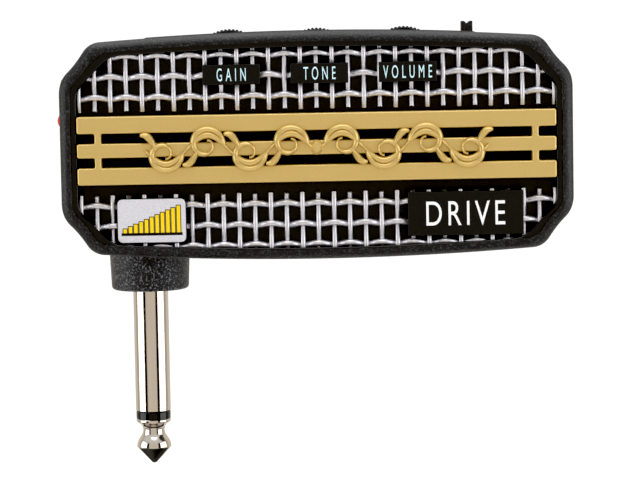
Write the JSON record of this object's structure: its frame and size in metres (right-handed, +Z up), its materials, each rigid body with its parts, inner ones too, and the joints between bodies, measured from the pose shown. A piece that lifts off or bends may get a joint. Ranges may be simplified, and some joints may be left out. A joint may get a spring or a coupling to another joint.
{
  "type": "plug-in guitar headphone amplifier",
  "caption": "Pocket guitar amplifier: a flat cut-corner case on its own 6.35 mm jack plug, with wire grille, gold bar panel, thumbwheels, slide switch and battery door.",
  "frame": {"origin": "on the jack plug's axis, in the plane of the barrel's end face, which seats on the guitar's jack plate", "axes": "+Z up, away from the guitar and along the plug towards the case; the plug points down -Z; -Y out of the grille face; +X to the right as the face is seen"},
  "size_m": [0.0912, 0.0303, 0.0793],
  "materials": {
    "case_plastic": "grained",
    "speckled_plastic": "coarse grained",
    "rubber": "matt",
    "mesh_wire": "drawn wire",
    "gold_paint": "satin metallic paint",
    "black_plate": "satin",
    "badge_silver": "printed silver",
    "plug_nickel": "polished",
    "spring_steel": "plated",
    "red_lens": "clear dyed",
    "fibre_board": "solder mask",
    "black_resin": "moulded",
    "pot_resin": "moulded",
    "foil_sleeve": "shrunk sleeve",
    "wire_sleeve": "extruded"
  },
  "bodies": {
    "case": {"front_shell": "case_plastic", "rear_shell": "case_plastic", "jack_barrel": "speckled_plastic", "control_strip": "rubber", "headphone_collar": "rubber", "aux_collar": "rubber", "upper_grille": "mesh_wire", "lower_grille": "mesh_wire", "trim_panel": "gold_paint", "grille_backing": "black_plate", "gain_tag": "black_plate", "tone_tag": "black_plate", "volume_tag": "black_plate", "voice_tag": "black_plate", "plug_insulator": "black_plate", "badge": "badge_silver", "plug_sleeve": "plug_nickel", "plug_tip": "plug_nickel", "plug_nut": "plug_nickel", "ground_lug": "spring_steel", "switch_body": "spring_steel", "board_screw_1": "spring_steel", "board_screw_2": "spring_steel", "upper_spring": "spring_steel", "lower_spring": "spring_steel", "negative_terminal": "spring_steel", "positive_terminal": "spring_steel", "cell_bridge": "spring_steel", "case_screw_1": "spring_steel", "case_screw_2": "spring_steel", "case_screw_3": "spring_steel", "case_screw_4": "spring_steel", "power_led": "red_lens", "circuit_board": "fibre_board", "amplifier_chip": "black_resin", "preamp_chip": "black_resin", "headphone_jack": "black_resin", "aux_jack": "black_resin", "gain_pot": "pot_resin", "tone_pot": "pot_resin", "volume_pot": "pot_resin", "capacitor_1": "foil_sleeve", "capacitor_2": "foil_sleeve", "capacitor_3": "foil_sleeve", "upper_cell": "foil_sleeve", "lower_cell": "foil_sleeve", "tip_wire": "wire_sleeve", "sleeve_wire": "wire_sleeve"},
    "gain_wheel": {"gain_wheel": "rubber"},
    "tone_wheel": {"tone_wheel": "rubber"},
    "volume_wheel": {"volume_wheel": "rubber"},
    "power_lever": {"power_lever": "case_plastic"},
    "battery_door": {"battery_door": "case_plastic"}
  },
  "joints": [
    {"name": "gain_turn", "type": "hinge", "parent": "case", "child": "gain_wheel", "pos_m": [0.0156, -0.0081, 0.03995], "axis": [0, 1, 0], "range_deg": [-140, 140]},
    {"name": "tone_turn", "type": "hinge", "parent": "case", "child": "tone_wheel", "pos_m": [0.031, -0.0081, 0.03995], "axis": [0, 1, 0], "range_deg": [-140, 140]},
    {"name": "volume_turn", "type": "hinge", "parent": "case", "child": "volume_wheel", "pos_m": [0.0464, -0.0081, 0.03995], "axis": [0, 1, 0], "range_deg": [-140, 140]},
    {"name": "power_slide", "type": "slide", "parent": "case", "child": "power_lever", "axis": [1, 0, 0], "range_m": [-0.002, 0]},
    {"name": "door_slide", "type": "slide", "parent": "case", "child": "battery_door", "axis": [1, 0, 0], "range_m": [0, 0.055]}
  ]
}
